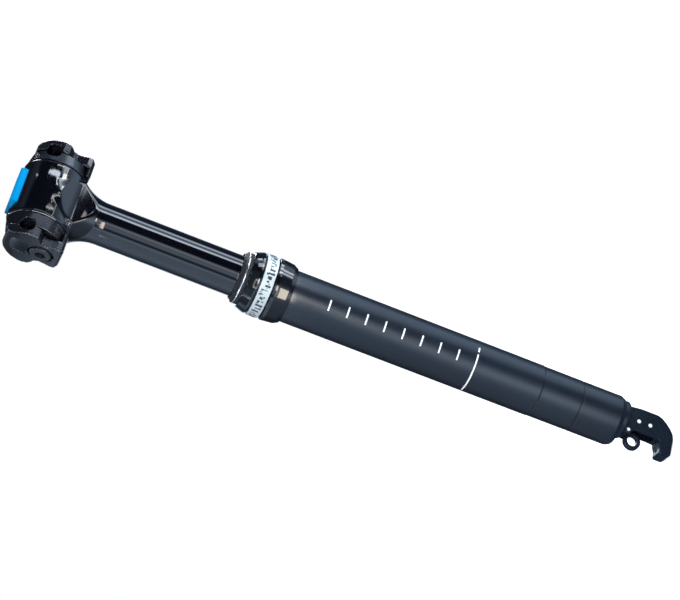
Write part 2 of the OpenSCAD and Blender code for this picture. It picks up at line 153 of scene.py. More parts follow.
def finish(name, colour, rough, metallic, stretch, scale, bump, tone, specular=0.5):
    """A material. rough is the lowest and highest roughness, bump the relief in millimetres,
    and tone says how far the colour strays."""
    mat = bpy.data.materials.new(name)
    mat.use_nodes = True
    tree = mat.node_tree
    shader = tree.nodes["Principled BSDF"]
    fill(shader, {"Metallic": metallic, "Specular IOR Level": specular})
    coords, ramp, remap = make(tree, "ShaderNode", "TexCoord", "ValToRGB", "MapRange")
    slow = grain(tree, coords, EVEN, HANDLING_SCALE, HANDLING_DETAIL)
    fine = grain(tree, coords, stretch, scale)
    for stop, place, share in zip(ramp.color_ramp.elements, TONE_STOPS, (1 - tone, 1 + tone)):
        stop.position = place
        stop.color = (*[min(1.0, c * share) for c in colour], 1)
    fill(remap, {"From Min": NOISE_LOW, "From Max": NOISE_HIGH, "To Min": rough[0], "To Max": rough[1]})
    wire(tree, [(slow, "Fac", ramp), (ramp, "Color", shader, "Base Color"),
                (fine, "Fac", remap, "Value"), (remap, "Result", shader, "Roughness")])
    if bump:
        relief = tree.nodes.new("ShaderNodeBump")
        fill(relief, {"Strength": 0.5, "Distance": bump * MM})
        wire(tree, [(fine, "Fac", relief, "Height"), (relief, "Normal", shader)])
    return mat


# %% [markdown]
# Black, satin and gloss
#
# The tube, the sleeve and the bracket are anodised: the black is in the skin of the metal, so
# it is satin, slightly blue, and keeps the turning rings underneath. The stanchion, its head
# and the collars are polished: almost no colour of their own and a low roughness, so they show
# what stands round them. The forged clamp parts have a fine even grain.

# %% Finishes for the nodes
# colour, roughness, metallic, stretch and scale of the grain, relief in mm, tone, specular
FINISHES = {
    "satin_black": ((0.004, 0.007, 0.013), (0.28, 0.34), 0.0, ROUND, 140.0, 0.003, 0.16),
    "gloss_black": ((0.0012, 0.0014, 0.003), (0.06, 0.09), 0.0, EVEN, 200.0, 0.0, 0.2),
    "collar_black": ((0.0018, 0.002, 0.0035), (0.07, 0.11), 0.0, ROUND, 120.0, 0.0, 0.2),
    "silver_band": ((0.42, 0.49, 0.53), (0.35, 0.45), 0.1, ROUND, 160.0, 0.004, 0.06),
    "rubber": ((0.012, 0.012, 0.013), (0.55, 0.7), 0.0, EVEN, 1500.0, 0.02, 0.15, 0.35),
    "bright_steel": ((0.72, 0.73, 0.74), (0.16, 0.26), 1.0, ROUND, 150.0, 0.003, 0.05),
    "bushing_plastic": ((0.55, 0.5, 0.38), (0.4, 0.5), 0.0, ROUND, 120.0, 0.006, 0.06),
    "bracket_black": ((0.003, 0.0055, 0.011), (0.26, 0.34), 0.0, EVEN, 1400.0, 0.008, 0.18),
    "brass": ((0.62, 0.42, 0.15), (0.2, 0.3), 1.0, ROUND, 150.0, 0.003, 0.08),
    "blue_plate": ((0.0, 0.2, 0.47), (0.4, 0.5), 0.0, EVEN, 1200.0, 0.006, 0.08, 0.04),
    "cartridge_grey": ((0.4, 0.41, 0.43), (0.2, 0.32), 1.0, ROUND, 150.0, 0.003, 0.06),
    "dark_steel": ((0.03, 0.032, 0.038), (0.28, 0.4), 0.6, ROUND, 150.0, 0.004, 0.15),
    "clamp_black": ((0.003, 0.0032, 0.006), (0.2, 0.3), 0.0, EVEN, 1800.0, 0.010, 0.2),
    # The pale steel below is partly the rivets' own bright metal and partly a painted highlight, which keeps the rivet
    # heads and the lever's axle white under any light.
    "rivet_steel_and_highlight": ((0.8, 0.82, 0.84), (0.35, 0.45), 0.3, EVEN, 1500.0, 0.003, 0.05),
    "white_print": ((0.82, 0.84, 0.86), (0.45, 0.6), 0.0, EVEN, 1500.0, 0.002, 0.04),
    "dark_print": ((0.02, 0.024, 0.03), (0.4, 0.5), 0.0, EVEN, 1500.0, 0.002, 0.1),
}
finishes = {name: finish(name, *row) for name, row in FINISHES.items()}
slot_of = {row["node"]: row["material_slot"] for row in record["subparts"]}
for node_name, solid in nodes.items():
    solid.data.materials.clear()
    solid.data.materials.append(finishes[slot_of[node_name]])
# The rivet heads and the lever's axle take that pale steel: their small white spots are partly a painted highlight.
for node_name in ("bracket_rivets", "lever_axle"):
    nodes[node_name].data.materials[0] = finishes["rivet_steel_and_highlight"]
print("finishes:", len(finishes), "on", len(nodes), "nodes")

# %% [markdown]
# Turned rings, as a node tree
#
# Collars, caps and sleeves come off a lathe: one outline turned round the axis. Geometry Nodes
# says just that. A closed outline is drawn in the half plane beside the axis, Fillet Curve rounds
# its corners as a deburring tool does, and Curve to Mesh sweeps it round a circle. The rounded
# corners matter more than any colour: a black edge is seen only by the line of light on it.

# %% Turned-ring tree
def tree_with(name, inputs):
    """A node tree with these inputs (label and kind), a geometry and a material input, and its start."""
    tree = bpy.data.node_groups.new(name, "GeometryNodeTree")
    for label, kind in [("Geometry", "Geometry"), *inputs, ("Material", "Material")]:
        tree.interface.new_socket(label, in_out="INPUT", socket_type="NodeSocket" + kind)
    return tree, tree.nodes.new("NodeGroupInput")


def close_tree(tree, given, last, output):
    """Turn instances into real faces, give them the material and pass them out."""
    tree.interface.new_socket("Geometry", in_out="OUTPUT", socket_type="NodeSocketGeometry")
    real, paint = make(tree, "GeometryNode", "RealizeInstances", "SetMaterial")
    wire(tree, [(last, output, real, "Geometry"), (real, "Geometry", paint), (given, "Material", paint),
                (paint, "Geometry", tree.nodes.new("NodeGroupOutput"))])
    return tree


SWEEP_R = 1.0 * MM


def turned_tree():
    tree, given = tree_with("turned_ring", [
        ("Corner Radius", "Float"), ("Corner Points", "Int"), ("Segments", "Int")])
    to_curve, fillet, circle, sweep, smooth = make(
        tree, "GeometryNode", "MeshToCurve", "FilletCurve", "CurvePrimitiveCircle", "CurveToMesh", "SetShadeSmooth")
    fillet.mode = "POLY"
    fill(fillet, {"Limit Radius": True})
    fill(circle, {"Radius": SWEEP_R})
    wire(tree, [
        (given, "Geometry", to_curve, "Mesh"), (to_curve, "Curve", fillet), (given, "Corner Radius", fillet, "Radius"),
        (given, "Corner Points", fillet, "Count"), (given, "Segments", circle, "Resolution"),
        (circle, "Curve", sweep), (fillet, "Curve", sweep, "Profile Curve"), (sweep, "Mesh", smooth, "Geometry")])
    return close_tree(tree, given, smooth, "Geometry")


TURNED = turned_tree()


def socket_id(tree, label):
    return next(s.identifier for s in tree.interface.items_tree if s.name == label and s.in_out == "INPUT")


def bake(piece):
    """Run the piece's modifiers and keep the result as its plain mesh."""
    depsgraph = bpy.context.evaluated_depsgraph_get()
    mesh = bpy.data.meshes.new_from_object(piece.evaluated_get(depsgraph), depsgraph=depsgraph)
    piece.modifiers.clear()
    piece.data = mesh


def grown(name, tree, settings, points=(), edges=()):
    """Run a node tree on a seed, which may be empty, and keep its result as a plain mesh."""
    seed = bpy.data.meshes.new(name + "_seed")
    seed.from_pydata(points, edges, [])
    piece = link_object(name, seed)
    modifier = piece.modifiers.new("grow", "NODES")
    modifier.node_group = tree
    for label, value in settings.items():
        modifier[socket_id(tree, label)] = value
    bake(piece)
    piece.data.name = name
    outward(piece.data)
    return piece


def outward(mesh):
    """Weld double points and turn every face outwards."""
    work = bmesh.new()
    work.from_mesh(mesh)
    bmesh.ops.remove_doubles(work, verts=work.verts, dist=1e-7)
    bmesh.ops.recalc_face_normals(work, faces=work.faces)
    work.to_mesh(mesh)
    work.free()


def settle_normals(piece):
    """Keep the flats flat in the shading, so that only rounded edges bend it, and run all modifiers."""
    modifier = piece.modifiers.new("even", "WEIGHTED_NORMAL")
    modifier.keep_sharp = True
    modifier.weight = 100
    bake(piece)


RING_SEGMENTS, CORNER_POINTS = 160, 3


def turned(name, outline, slot, corner, node_name):
    """outline: (radius, height) in millimetres, closed."""
    piece = grown(name, TURNED, {
        "Corner Radius": corner * MM, "Corner Points": CORNER_POINTS, "Segments": RING_SEGMENTS,
        "Material": finishes[slot]}, [(r * MM - SWEEP_R, -h * MM, 0.0) for r, h in outline],
        [(i, (i + 1) % len(outline)) for i in range(len(outline))])
    settle_normals(piece)
    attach(piece, "outer_post")
    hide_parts(node_name)
    radii = [math.hypot(v.co.x, v.co.y) / MM for v in piece.data.vertices]
    print(name, "faces", len(piece.data.polygons), "radius", round(min(radii), 2), "to", round(max(radii), 2))


# %% [markdown]
# The collar, the wiper and the sleeve
#
# On the real post the lower collar is a ring against the tube, and a cap screws down on the
# tube's threaded end. A pale ring sits in a groove of the cap, and a rubber lip, which keeps its
# solid's shape here, closes the cap round the stanchion. The sleeve below is a plain turned part
# with one shallow groove. All of them are the same tree with other outlines, given as radius and
# height in millimetres.

# %% Turn the rings
def box_mm(name):
    low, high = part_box(name)
    return [v / MM for v in low], [v / MM for v in high]


def reach(name):
    """A turned part's radius, foot and top."""
    low, high = box_mm(name)
    return high[0], low[2], high[2]


TUBE_R, TUBE_FOOT, TUBE_TOP = reach("outer_tube")
COLLAR_R, _, SPLIT = reach("lower_collar")
BAND_R, BAND_LOW, BAND_HIGH = reach("collar_band")
CAP_R, _, CAP_TOP = reach("upper_collar")
WIPER_R, *_ = reach("dust_wiper")
SLEEVE_R, SLEEVE_LOW, _ = reach("lower_sleeve")
SHAFT_R, BORE_R = 10.75, 9.2
TOP_R, CAP_BORE_R, LIP_R = TUBE_R - 0.4, SHAFT_R + 0.65, WIPER_R - 0.5
LIP_FLOOR, CAP_FLOOR = CAP_TOP - 2.9, TUBE_TOP + 1.8
BAND_SEAT, GROOVE, GAP = BAND_R - 1.05, BAND_HIGH + 0.9, 0.05

turned("shoulder_ring", [
    (TOP_R, 0.02), (TUBE_R + 0.9, 0.02), (COLLAR_R - 0.6, 2.4), (COLLAR_R, SPLIT - 2), (COLLAR_R, SPLIT - GAP),
    (TOP_R, SPLIT - GAP)], "collar_black", 0.35, "lower_collar")
turned("screwed_cap", [
    (TOP_R, SPLIT + GAP), (BAND_SEAT + 0.5, SPLIT + GAP), (BAND_SEAT + 0.5, BAND_LOW), (BAND_SEAT, BAND_LOW),
    (BAND_SEAT, BAND_HIGH), (BAND_SEAT + 0.2, BAND_HIGH), (BAND_SEAT + 0.2, GROOVE), (CAP_R, GROOVE),
    (CAP_R, GROOVE + 1.1), (CAP_R - 1.5, CAP_TOP - 0.4), (CAP_R - 1.85, CAP_TOP), (LIP_R, CAP_TOP),
    (LIP_R, LIP_FLOOR), (CAP_BORE_R, LIP_FLOOR), (CAP_BORE_R, CAP_FLOOR), (TOP_R, CAP_FLOOR)],
    "collar_black", 0.22, "upper_collar")
turned("pale_ring", [(BAND_SEAT, BAND_LOW), (BAND_R, BAND_LOW), (BAND_R, BAND_HIGH), (BAND_SEAT, BAND_HIGH)],
       "silver_band", 0.3, "collar_band")

SLEEVE_BORE_R, SOCKET_R, SOCKET_DEEP, TONGUE = 10.6, 12, 11, 4.6
LINE_Z, LINE_R = TUBE_FOOT - 22.8, SLEEVE_R - 0.15
SEAM_R, SEAM_Z = SLEEVE_R - 0.35, TUBE_FOOT - 0.06
turned("lower_sleeve_turned", [
    (SLEEVE_BORE_R, SLEEVE_LOW + SOCKET_DEEP), (SOCKET_R, SLEEVE_LOW + SOCKET_DEEP), (SOCKET_R, SLEEVE_LOW),
    (SLEEVE_R - 1.0, SLEEVE_LOW), (SLEEVE_R, SLEEVE_LOW + 2.2), (SLEEVE_R, LINE_Z - 0.75), (LINE_R, LINE_Z - 0.25),
    (LINE_R, LINE_Z + 0.25), (SLEEVE_R, LINE_Z + 0.75), (SLEEVE_R, TUBE_FOOT - 0.7), (SEAM_R, TUBE_FOOT - 0.3),
    (SEAM_R, SEAM_Z), (SOCKET_R, SEAM_Z), (SOCKET_R, TUBE_FOOT + TONGUE), (SLEEVE_BORE_R, TUBE_FOOT + TONGUE)],
    "satin_black", 0.2, "lower_sleeve")

# %% [markdown]
# Forged and milled parts from distance fields
#
# A forged part has no sharp line anywhere: every edge is a small curve, and every inner corner
# is filled. Bevels on a cut-up solid tear at such corners, so these parts are described another
# way. A field gives, for each point of space, how far it is from the surface. Fields are joined
# with a smooth maximum or minimum, which rounds the edge as it cuts. A net of quads is laid where
# the field is zero, each point is then moved onto it exactly, and the field's slope gives the
# normals, so that reflections run clean over the curves.

# %% Field helpers
def round_cut(a, b, r):
    """Keep what is in both, with the edge between them rounded by about r."""
    h = np.maximum(r - np.abs(a - b), 0.0)
    return np.maximum(a, b) + h * h / (4 * r)


def cut_away(whole, hole, r):
    """Take the hole out of the whole, with a rounded rim."""
    return round_cut(whole, -hole, r)


def round_join(a, b, r):
    """Keep what is in either, with the corner between them filled by about r."""
    h = np.maximum(r - np.abs(a - b), 0.0)
    return np.minimum(a, b) - h * h / (4 * r)


def outline_field(u, v, points):
    """Signed distance to a closed outline in the plane of u and v."""
    best = np.full(np.shape(u), 1e9)
    sign = np.ones(np.shape(u))
    count = len(points)
    for i in range(count):
        (ax, ay), (bx, by) = points[i], points[i - 1]
        ex, ey = bx - ax, by - ay
        wx, wy = u - ax, v - ay
        t = np.clip((wx * ex + wy * ey) / (ex * ex + ey * ey), 0, 1)
        best = np.minimum(best, (wx - ex * t) ** 2 + (wy - ey * t) ** 2)
        above, below, side = v >= ay, v < by, ex * wy > ey * wx
        sign = np.where((above & below & side) | (~above & ~below & ~side), -sign, sign)
    return sign * np.sqrt(best)


def away(u, v, spot):
    return np.hypot(u - spot[0], v - spot[1])


def slope(field, p, step=0.01):
    """How fast the field grows along each axis."""
    parts = []
    for axis in range(3):
        move = np.zeros(3)
        move[axis] = step
        ahead, behind = p + move, p - move
        parts.append((field(*ahead.T) - field(*behind.T)) / (2 * step))
    return np.stack(parts, axis=1)


def crossed_cells(value):
    """One point in each cell that the surface crosses, in cells, and a quad round each crossed edge."""
    inside = value < 0
    size = np.array(value.shape) - 1
    total = np.zeros((*size, 3))
    count = np.zeros(tuple(size))
    quads = []
    number = np.arange(size.prod()).reshape(size)
    for axis in range(3):
        first, second = [a for a in range(3) if a != axis]
        near, far = [slice(None)] * 3, [slice(None)] * 3
        near[axis], far[axis] = slice(0, -1), slice(1, None)
        a, b = value[tuple(near)], value[tuple(far)]
        crossed = (a < 0) != (b < 0)
        share = np.where(crossed, a / np.where(a == b, 1, a - b), 0.0)
        for du in (0, 1):
            for dv in (0, 1):
                part = [slice(None)] * 3
                part[first] = slice(du, size[first] + du)
                part[second] = slice(dv, size[second] + dv)
                here = crossed[tuple(part)]
                total[..., axis] += share[tuple(part)]
                total[..., first] += du * here
                total[..., second] += dv * here
                count += here
        inner = [slice(None)] * 3
        inner[first], inner[second] = slice(1, -1), slice(1, -1)
        at = np.argwhere(crossed[tuple(inner)])
        at[:, first] += 1
        at[:, second] += 1
        corners = []
        for du, dv in ((1, 1), (0, 1), (0, 0), (1, 0)):
            cell_at = at.copy()
            cell_at[:, first] -= du
            cell_at[:, second] -= dv
            corners.append(number[tuple(cell_at.T)])
        ring = np.stack(corners, axis=1)
        flip = inside[tuple(at.T)] == (axis == 1)
        ring[flip] = ring[flip][:, ::-1]
        quads.append(ring)
    used = np.argwhere(count > 0)
    index = np.full(size.prod(), -1)
    index[number[tuple(used.T)]] = np.arange(len(used))
    return used + total[tuple(used.T)] / count[tuple(used.T)][:, None], index[np.concatenate(quads)]


def net_on(field, low, high, cell):
    """Quads over the zero surface of a field, with exact points and normals, in millimetres."""
    axes = [np.arange(a - 1.5 * cell, b + 2.5 * cell, cell) for a, b in zip(low, high)]
    points, quads = crossed_cells(field(*np.meshgrid(*axes, indexing="ij")))
    points = points * cell + np.array([a[0] for a in axes])
    for _ in range(5):
        g = slope(field, points)
        shift = field(*points.T)[:, None] * g / np.maximum((g * g).sum(axis=1), 0.05)[:, None]
        points -= np.clip(shift, -0.4 * cell, 0.4 * cell)
    normals = slope(field, points)
    normals /= np.maximum(np.linalg.norm(normals, axis=1), 1e-9)[:, None]
    return points, quads, normals


def joined_mesh(name, parts, slot):
    """One object from several lists of points, faces and normals."""
    starts = np.cumsum([0] + [len(p) for p, _, _ in parts[:-1]])
    points, normals = np.concatenate([p for p, _, _ in parts]), np.concatenate([n for _, _, n in parts])
    faces = np.concatenate([np.asarray(f) + start for (_, f, _), start in zip(parts, starts)])
    mesh = bpy.data.meshes.new(name)
    mesh.from_pydata((points * MM).tolist(), [], faces.tolist())
    mesh.polygons.foreach_set("use_smooth", np.ones(len(faces), dtype=bool))
    mesh.normals_split_custom_set_from_vertices(normals.tolist())
    mesh.materials.append(finishes[slot])
    piece = link_object(name, mesh)
    return piece


def mirrored(part):
    """The same part on the post's other side."""
    p, f, n = part
    across = np.array([-1.0, 1.0, 1.0])
    return p * across, f[:, ::-1], n * across


def take_place(piece, node_name):
    """Ride with the body of the piece's solid, and stand for that solid."""
    bodies = record["behaviour"]["bodies"]
    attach(piece, next(body for body, members in bodies.items() if node_name in members))
    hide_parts(node_name)


def forged(name, parts, slot, node_name):
    """Make the piece, let it take its solid's place, and say how far it leaves the solid's box."""
    piece = joined_mesh(name, parts, slot)
    take_place(piece, node_name)
    triangles = sum(len(f.vertices) - 2 for f in piece.data.polygons)
    low, high = box_mm(node_name)
    xs = np.array([v.co for v in piece.data.vertices]) / MM
    over = max(np.max(np.array(low) - xs.min(axis=0)), np.max(xs.max(axis=0) - np.array(high)))
    print(name, "triangles", triangles, "outside its solid's box by", round(float(over), 3), "mm")


# %% [markdown]
# The stanchion and its head
#
# The stanchion is a straight drawn tube that flares into a barrel lying across it, all one
# forging. The flare is a circle's arc turned round the post, thinned from front and back by two
# large cylinders. The straight part needs no field: rings of points round the axis do.

# %% Stanchion with its head
HEAD_Z, HEAD_FOOT = 128.4, 96.4
BARREL_R, BARREL_HALF, BARREL_BORE_R = 16.1, 15.6, 13.2
FLARE_R, FLARE_Z = 21.5, HEAD_Z - 29.4
WAIST_R, WAIST_AWAY, WAIST_DOWN = 21, 32.1, 18.6
PLATE_SEAT = [(-9.2, -8.3), (9.2, -8.3), (11.4, -4.5), (11.4, 4.5), (9.2, 8.3), (-9.2, 8.3), (-11.4, 4.5),
              (-11.4, -4.5)]
PLATE_SEAT_R, BORE_DOWN, FAR_OUT = 15.35, 27.4, 9.0


def head_field(x, y, z):
    h = z - HEAD_Z
    turned_r, rho = np.hypot(y, h), np.hypot(x, y)
    ends = np.abs(x) - BARREL_HALF
    barrel = round_cut(turned_r - BARREL_R, ends, 0.3)
    barrel = round_cut(barrel, (turned_r - BARREL_R + ends + 1.1) / math.sqrt(2), 0.5)
    flare = FLARE_R - np.hypot(rho - SHAFT_R - FLARE_R, z - FLARE_Z)
    flare = np.where(rho > SHAFT_R + FLARE_R, FAR_OUT, flare)
    neck = np.where(z < FLARE_Z, rho - SHAFT_R, flare)
    waist = WAIST_R - np.hypot(np.abs(y) - WAIST_AWAY, h + WAIST_DOWN)
    for limit, r in ((rho - BARREL_R - 0.2, 0.4), (h + 1, 0.3), (waist, 0.7), (ends, 0.4)):
        neck = round_cut(neck, limit, r)
    whole = round_cut(round_join(barrel, neck, 1.2), BARREL_BORE_R - turned_r, 0.2)
    seat = np.maximum(outline_field(x, y, PLATE_SEAT), np.maximum(PLATE_SEAT_R - turned_r, -h))
    whole = cut_away(whole, seat, 0.2)
    whole = cut_away(whole, np.maximum(rho - BORE_R, h + BORE_DOWN), 0.2)
    return np.maximum(whole, HEAD_FOOT - z)


def straight_tube(r_out, r_in, low, high, around=192):
    """Rings of points round the axis, open at the top, where the head covers the end."""
    profile = [(r_in, low, -1, 0), (r_in, high, -1, 0), (r_out, high, 1, 0), (r_out, low + 0.3, 1, 0),
               (r_out - 0.1, low + 0.1, 0.7, -0.7), (r_out - 0.3, low, 0, -1), (r_in, low, 0, -1)]
    angles = np.arange(around) * 2 * math.pi / around
    points, normals, faces = [], [], []
    for r, h, nr, nz in profile:
        points += [(r * math.cos(a), r * math.sin(a), h) for a in angles]
        normals += [(nr * math.cos(a), nr * math.sin(a), nz) for a in angles]
    for row in (0, 2, 3, 4, 5):  # row 1 would close the top
        for i in range(around):
            j = (i + 1) % around
            a, b = row * around, (row + 1) * around
            faces.append((a + i, b + i, b + j, a + j))
    return np.array(points), np.array(faces), np.array(normals)


head = net_on(head_field, (-16, -16.3, HEAD_FOOT), (16, 16.3, 145), 0.42)
shaft = straight_tube(SHAFT_R, BORE_R, box_mm("stanchion")[0][2], HEAD_FOOT + 0.6)
forged("stanchion_forged", [shaft, head], "gloss_black", "stanchion")

# %% [markdown]
# The saddle clamp
#
# Each rail lies between an inner cradle, which sits in the end of the barrel, and an outer
# clamp that a bolt pulls in. Both are forged and have soft edges. The outer clamp carries a
# shallow field and a pocket, which on the real one hold its marks and are bare here, and its
# toe hooks under the cradle.

# %% Cradles and outer clamps
RAIL_X, RAIL_UP, RAIL_R, BOLT_DOWN = 22.0, 5.3, 3.5, -5.7
PART_X, CLAMP_OUT = RAIL_X - 0.1, RAIL_X + 6
CLAMP_TOP, CLAMP_LOW = 13.9, -16.1
CLAMP_SIDE = [(7.6, 13.9), (8.9, 13), (12.6, 8), (14.6, 3.6), (14.8, 1), (13.8, -1.9), (11.6, -3.4), (9.5, -4.2),
              (8.3, -6.4), (8.6, -9), (9.5, -12), (9.2, -14.2), (7.1, -16.1)]
CLAMP_SIDE = CLAMP_SIDE + [(-y, h) for y, h in reversed(CLAMP_SIDE)]
RIB_PITCH, RIB_DEEP = 1.25, 0.28
DISH_R, DISH_DEEP, DISH_Y, DISH_UP = 24.0, 1.1, -0.6, 6.4
CRADLE_R, CRADLE_NARROWS, SPIGOT_R, SPIGOT_X, CRADLE_HOLE_R = 15.5, 1.4, 13.15, 12.6, 3.35
CLAMP_HOLE_R, BOLT_SEAT_R, BOLT_SEAT_DEEP = 2.98, 6.55, 2.9
TOE_X, TOE_TOP = BARREL_HALF + 1.3, CLAMP_LOW + 3.1
CLAMP_FRONT = [(PART_X + 0.2, CLAMP_TOP), (RAIL_X + 2.4, CLAMP_TOP), (RAIL_X + 4.4, CLAMP_TOP - 1.5),
               (RAIL_X + 5.6, CLAMP_TOP - 4), (CLAMP_OUT, CLAMP_TOP - 7), (CLAMP_OUT, CLAMP_LOW + 1.5),
               (CLAMP_OUT - 1.5, CLAMP_LOW), (TOE_X + 0.8, CLAMP_LOW), (TOE_X, CLAMP_LOW + 0.8),
               (TOE_X, TOE_TOP), (PART_X + 0.2, TOE_TOP)]


def ribbed(x, y, h):
    """Distance from the rail's channel, with shallow ribs across it that grip the rail."""
    rib = RIB_DEEP * (0.5 - 0.5 * np.cos(2 * math.pi * y / RIB_PITCH))
    return RAIL_R + rib - np.hypot(x - RAIL_X, h - RAIL_UP)


def cradle_field(x, y, z):
    h = z - HEAD_Z
    r = np.hypot(y, h)
    cone = (r - (CRADLE_R - CRADLE_NARROWS * (x - BARREL_HALF) / (PART_X - BARREL_HALF))) * 0.98
    disc = round_cut(cone, np.maximum(BARREL_HALF - x, x - PART_X), 0.5)
    spigot = round_cut(r - SPIGOT_R, np.maximum(SPIGOT_X - x, x - BARREL_HALF - 0.5), 0.3)
    whole = np.minimum(disc, spigot)
    whole = round_cut(whole, ribbed(x, y, h), 0.3)
    whole = round_cut(whole, CRADLE_HOLE_R - np.hypot(y, h - BOLT_DOWN), 0.2)
    toe = np.maximum(BARREL_HALF + 0.8 - x, h - TOE_TOP - 0.3)
    return cut_away(whole, toe, 0.3)


def outer_clamp_field(x, y, z):
    h = z - HEAD_Z
    whole = round_cut(outline_field(x, h, CLAMP_FRONT), outline_field(y, h, CLAMP_SIDE), 1.3)
    whole = round_cut(whole, ribbed(x, y, h), 0.4)
    panel = round_cut(np.abs(y - DISH_Y) - 5.6, np.abs(h - DISH_UP) - 5.2, 2.5)
    dish = DISH_R - np.hypot(np.hypot(x - CLAMP_OUT - DISH_R + DISH_DEEP, y - DISH_Y), h - DISH_UP)
    whole = cut_away(whole, np.maximum(panel, -dish), 0.25)
    from_bolt = np.hypot(y, h - BOLT_DOWN)
    whole = round_cut(whole, CLAMP_HOLE_R - from_bolt, 0.2)
    return cut_away(whole, np.maximum(from_bolt - BOLT_SEAT_R, CLAMP_OUT - BOLT_SEAT_DEEP - x), 0.35)


cradle = net_on(cradle_field, (12.6, -15.6, HEAD_Z - 15.6), (22, 15.6, HEAD_Z + 15.6), 0.34)
clamp = net_on(outer_clamp_field, (16.8, -15, HEAD_Z - 16.3), (28.2, 15, HEAD_Z + 14.2), 0.32)
for side, (inner, outer) in (("right", (cradle, clamp)), ("left", (mirrored(cradle), mirrored(clamp)))):
    forged("cradle_forged_" + side, [inner], "clamp_black", "cradle_" + side)
    forged("outer_clamp_forged_" + side, [outer], "clamp_black", "outer_clamp_" + side)

# %% [markdown]
# The foot, the bracket and the lever
#
# Below the sleeve a stepped foot carries a bracket bent from sheet, with a hook in which the
# cable's housing stops, and a small rocker with an open ring that the cable pulls. They are
# stamped and tumbled, which leaves a small even radius on every edge.

# %% Foot, bracket and lever
PLUG_END = box_mm("cable_bracket")[1][2]
HOOK_LOW = box_mm("cable_bracket")[0][2]
PIVOT = (-4.1, PLUG_END - 1.9)
EYE = (PIVOT[0] - 3.8, PIVOT[1] - 4.4)
THROAT = (-8.5, PLUG_END - 15.2)
HOOK_X, SLOT_END = THROAT[0] - 2.5, THROAT[1] - 2.2
RIVETS, PIN_R = ((2.4, PLUG_END - 6.7), (2.4, PLUG_END - 13.1)), 0.9
THROAT_R, FORK_HALF, FORK_X, HOUSING_X, HOUSING_R, HOUSING_DEEP, CABLE_R = 5.3, 3, 8.6, -7.8, 2.1, 4.6, 0.8
BRACKET_SIDE = [
    (PIVOT[0] - 2, PLUG_END), (9.3, PLUG_END), (10.2, PLUG_END - 7), (10.2, THROAT[1] - 1.4),
    (9.4, THROAT[1] - 4), (7.3, THROAT[1] - 6.9), (4.8, HOOK_LOW + 2.4), (2.2, HOOK_LOW + 0.7), (-0.6, HOOK_LOW),
    (HOOK_X + 1.6, HOOK_LOW), (HOOK_X, HOOK_LOW + 1.6), (HOOK_X, HOOK_LOW + 5.8), (HOOK_X + 1, HOOK_LOW + 6.6),
    (-3.2, HOOK_LOW + 8), (-3, THROAT[1] + 0.2), (-3, PIVOT[1] - 3.6), (PIVOT[0], PIVOT[1] - 2.6),
    (PIVOT[0] - 2, PIVOT[1] - 1.4)]


def bracket_field(x, y, z):
    whole = round_cut(outline_field(x, z, BRACKET_SIDE), np.abs(y) - 4.5, 0.9)
    whole = round_cut(whole, THROAT_R - away(x, z, THROAT), 0.6)
    slot = np.maximum(np.maximum(np.abs(y) - FORK_HALF, SLOT_END - z), x - FORK_X)
    whole = cut_away(whole, slot, 0.2)
    for pin in (PIVOT, *RIVETS):
        whole = round_cut(whole, PIN_R - away(x, z, pin), 0.1)
    from_cable = np.hypot(x - HOUSING_X, y)
    whole = cut_away(whole, np.maximum(from_cable - HOUSING_R, z - HOOK_LOW - HOUSING_DEEP), 0.2)
    return cut_away(whole, np.maximum(from_cable - CABLE_R, z - THROAT[1]), 0.15)


STEP_X, STEP_R, ROD_R = 2.1, 10.1, 1.6


def foot_field(x, y, z):
    spread_r = np.hypot(x - STEP_X, y) - STEP_R
    step = round_cut(spread_r, np.maximum(PLUG_END - z, z - PLUG_END - 4.3), 0.3)
    step = round_cut(step, (spread_r + (PLUG_END - z) + 0.8) / math.sqrt(2), 0.3)
    tongue = outline_field(x, z, [
        (1.8, PLUG_END + 1), (1.8, PLUG_END - 3.9), (1, PLUG_END - 4.7), (1, SLOT_END + 1.9), (2.2, SLOT_END + 0.7),
        (FORK_X, SLOT_END + 0.7), (FORK_X, PLUG_END + 1)])
    whole = np.minimum(step, round_cut(tongue, np.abs(y) - FORK_HALF, 0.3))
    return round_cut(whole, ROD_R - np.hypot(x, y), 0.1)


EYE_OUT_R, EYE_R, LEVER_HALF, BOSS_R, BOSS_HALF, AXLE_R = 4.7, 2.7, 1.3, 1.6, 2.9, 0.94


def lever_field(x, y, z):
    across = np.abs(y)
    ring = round_cut(away(x, z, EYE) - EYE_OUT_R, across - LEVER_HALF, 0.5)
    boss = round_cut(away(x, z, PIVOT) - BOSS_R, across - BOSS_HALF, 0.3)
    nose = round_cut(np.hypot(x, z - PIVOT[1] + 0.8) - 0.8, across - LEVER_HALF, 0.3)
    arm = outline_field(x, z, [
        PIVOT, (0, PIVOT[1] - 0.1), (0, PIVOT[1] - 1.5), (PIVOT[0], PIVOT[1] - 2.2), (EYE[0] + 2, EYE[1] - 0.5),
        (EYE[0] + 1, EYE[1] + 4), (PIVOT[0] - 1.2, PIVOT[1] + 0.6)])
    arm = round_cut(arm, across - LEVER_HALF, 0.3)
    whole = round_join(round_join(ring, arm, 0.3), np.minimum(boss, nose), 0.2)
    whole = round_cut(whole, EYE_R - away(x, z, EYE), 0.4)
    return round_cut(whole, AXLE_R - away(x, z, PIVOT), 0.1)


bracket = net_on(bracket_field, (HOOK_X, -4.6, HOOK_LOW), (10.3, 4.6, PLUG_END), 0.24)
forged("bracket_stamped", [bracket], "bracket_black", "cable_bracket")
lever = net_on(lever_field, (EYE[0] - 4.8, -3, EYE[1] - 4.8), (1, 3, PIVOT[1] + 1.7), 0.2)
forged("lever_stamped", [lever], "bracket_black", "actuator_lever")
foot = net_on(foot_field, (-8.1, -10.2, SLOT_END + 0.6), (12.3, 10.2, PLUG_END + 4.4), 0.32)
forged("foot_turned", [foot], "satin_black", "end_plug")

